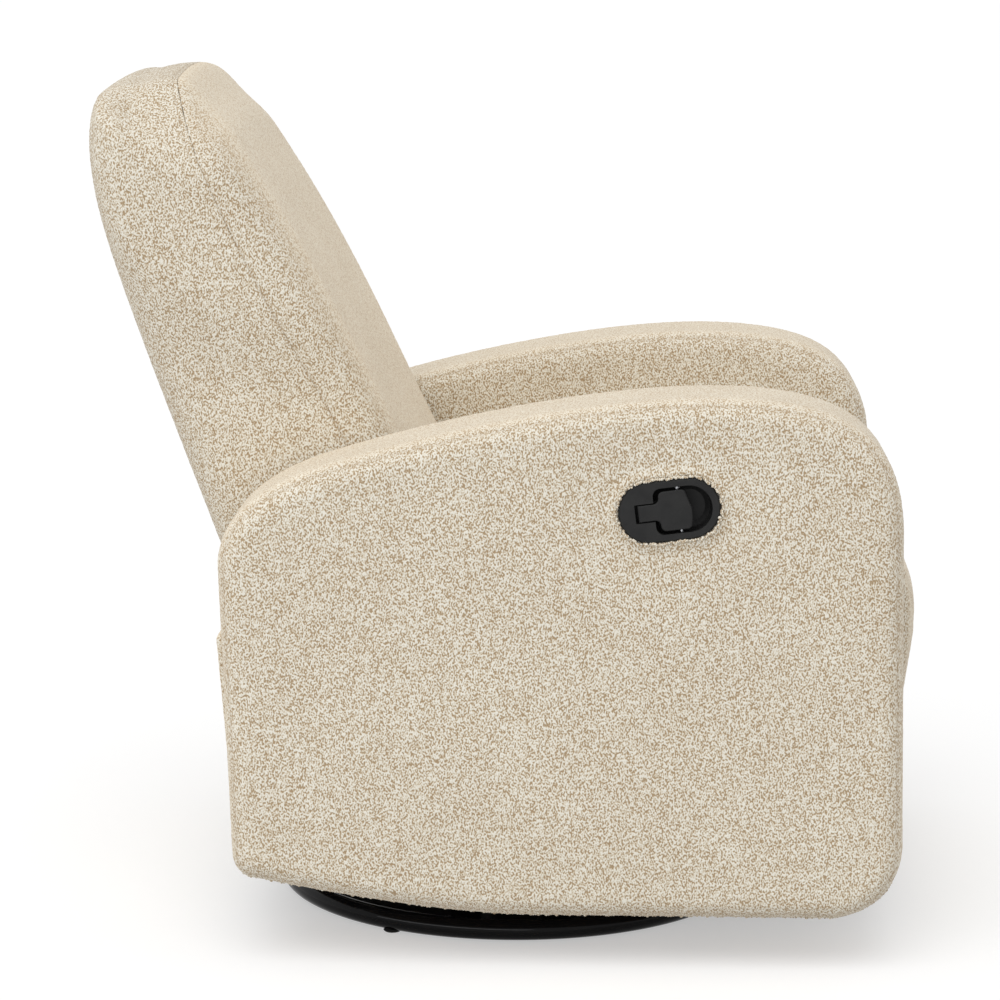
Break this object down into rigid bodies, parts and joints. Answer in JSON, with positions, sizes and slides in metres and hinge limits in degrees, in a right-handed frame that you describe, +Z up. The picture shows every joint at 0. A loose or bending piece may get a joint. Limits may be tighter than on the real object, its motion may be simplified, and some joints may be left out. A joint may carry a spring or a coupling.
{
  "type": "swivel recliner",
  "caption": "Upholstered swivel recliner with a pull handle in the arm, a reclining back, a fold-out footrest and a round metal swivel base.",
  "frame": {"origin": "the point on the floor under the swivel axis, in the middle of the base ring", "axes": "+Z up along the swivel axis, the seat faces -Y, +X is the sitter's left"},
  "size_m": [0.7788, 0.9842, 1.0117],
  "materials": {
    "boucle": "looped boucle, matt",
    "plywood": "bare plywood",
    "black_steel": "gloss black powder coat",
    "zinc_steel": "zinc plated",
    "black_plastic": "fine satin texture",
    "rubber": "matt"
  },
  "bodies": {
    "base": {"base_ring": "black_steel", "base_pan": "black_steel", "base_hub": "black_steel", "bearing_cage": "zinc_steel", "swivel_spindle": "zinc_steel", "spindle_nut": "zinc_steel", "foot_glide_1": "rubber", "foot_glide_2": "rubber", "foot_glide_3": "rubber", "foot_glide_4": "rubber"},
    "back": {"back_cover": "boucle", "back_cushion": "boucle", "back_frame": "plywood", "back_webbing": "rubber", "back_bracket_left": "zinc_steel", "back_bracket_right": "zinc_steel", "back_skirt": "boucle"},
    "handle": {"handle_paddle": "black_plastic"},
    "rear_link": {"footrest_rear_link_left": "zinc_steel", "footrest_rear_link_right": "zinc_steel", "footrest_torque_tube": "black_steel"},
    "middle_link": {"footrest_middle_link_left": "zinc_steel", "footrest_middle_link_right": "zinc_steel"},
    "guide_link": {"footrest_guide_link_left": "zinc_steel", "footrest_guide_link_right": "zinc_steel"},
    "front_link": {"footrest_front_link_left": "zinc_steel", "footrest_front_link_right": "zinc_steel"},
    "footrest": {"footrest_bracket_left": "zinc_steel", "footrest_bracket_right": "zinc_steel", "footrest_board": "plywood", "footrest_pad": "boucle"},
    "chassis": {"arm_base_board_left": "plywood", "arm_base_board_right": "plywood", "arm_bolt_front_left": "zinc_steel", "arm_bolt_front_right": "zinc_steel", "arm_bolt_rear_left": "zinc_steel", "arm_bolt_rear_right": "zinc_steel", "arm_cover_left": "boucle", "arm_cover_right": "boucle", "arm_inner_board_left": "plywood", "arm_inner_board_right": "plywood", "arm_outer_board_left": "plywood", "arm_outer_board_right": "plywood", "handle_bezel": "black_plastic", "handle_pin": "zinc_steel", "handle_spring": "zinc_steel", "mechanism_side_plate_left": "zinc_steel", "mechanism_side_plate_right": "zinc_steel", "rear_board": "plywood", "rear_panel": "boucle", "release_cable": "black_plastic", "seat_cushion": "boucle", "seat_front_rail": "plywood", "seat_rear_rail": "plywood", "seat_spring_left": "zinc_steel", "seat_spring_middle": "zinc_steel", "seat_spring_right": "zinc_steel", "swivel_frame": "black_steel"}
  },
  "joints": [
    {"name": "seat_swivel", "type": "hinge", "parent": "base", "child": "chassis", "pos_m": [0, 0, 0.054], "axis": [0, 0, 1], "continuous": true},
    {"name": "back_recline", "type": "hinge", "parent": "chassis", "child": "back", "pos_m": [0, 0.16, 0.42], "axis": [-1, 0, 0], "range_deg": [0, 28]},
    {"name": "handle_pull", "type": "hinge", "parent": "chassis", "child": "handle", "pos_m": [-0.3841, -0.19591, 0.53938], "axis": [0, -0.1253, -0.9921], "range_deg": [0, 20], "stiffness_Nm_per_rad": 0.6, "springref_deg": -5.73},
    {"name": "footrest_middle_pivot", "type": "hinge", "parent": "rear_link", "child": "middle_link", "pos_m": [0, -0.32473, 0.31696], "axis": [-1, 0, 0], "range_deg": [0, 100]},
    {"name": "footrest_rear_pivot", "type": "hinge", "parent": "chassis", "child": "rear_link", "pos_m": [0, -0.29, 0.12], "axis": [-1, 0, 0], "range_deg": [-25, 0]},
    {"name": "footrest_guide_pivot", "type": "hinge", "parent": "rear_link", "child": "guide_link", "pos_m": [0, -0.3485, 0.35562], "axis": [-1, 0, 0], "range_deg": [0, 100]},
    {"name": "footrest_front_pivot", "type": "hinge", "parent": "middle_link", "child": "front_link", "pos_m": [0, -0.35946, 0.12], "axis": [-1, 0, 0], "range_deg": [-115, 0]},
    {"name": "footrest_board_pivot", "type": "hinge", "parent": "front_link", "child": "footrest", "pos_m": [0, -0.39419, 0.31696], "axis": [-1, 0, 0], "range_deg": [0, 125]}
  ],
  "couplings": [
    {"joint": "footrest_rear_pivot", "follows": "footrest_middle_pivot", "ratio": -0.25},
    {"joint": "footrest_guide_pivot", "follows": "footrest_middle_pivot", "ratio": 1},
    {"joint": "footrest_front_pivot", "follows": "footrest_middle_pivot", "ratio": -1.15},
    {"joint": "footrest_board_pivot", "follows": "footrest_middle_pivot", "ratio": 1.25}
  ]
}
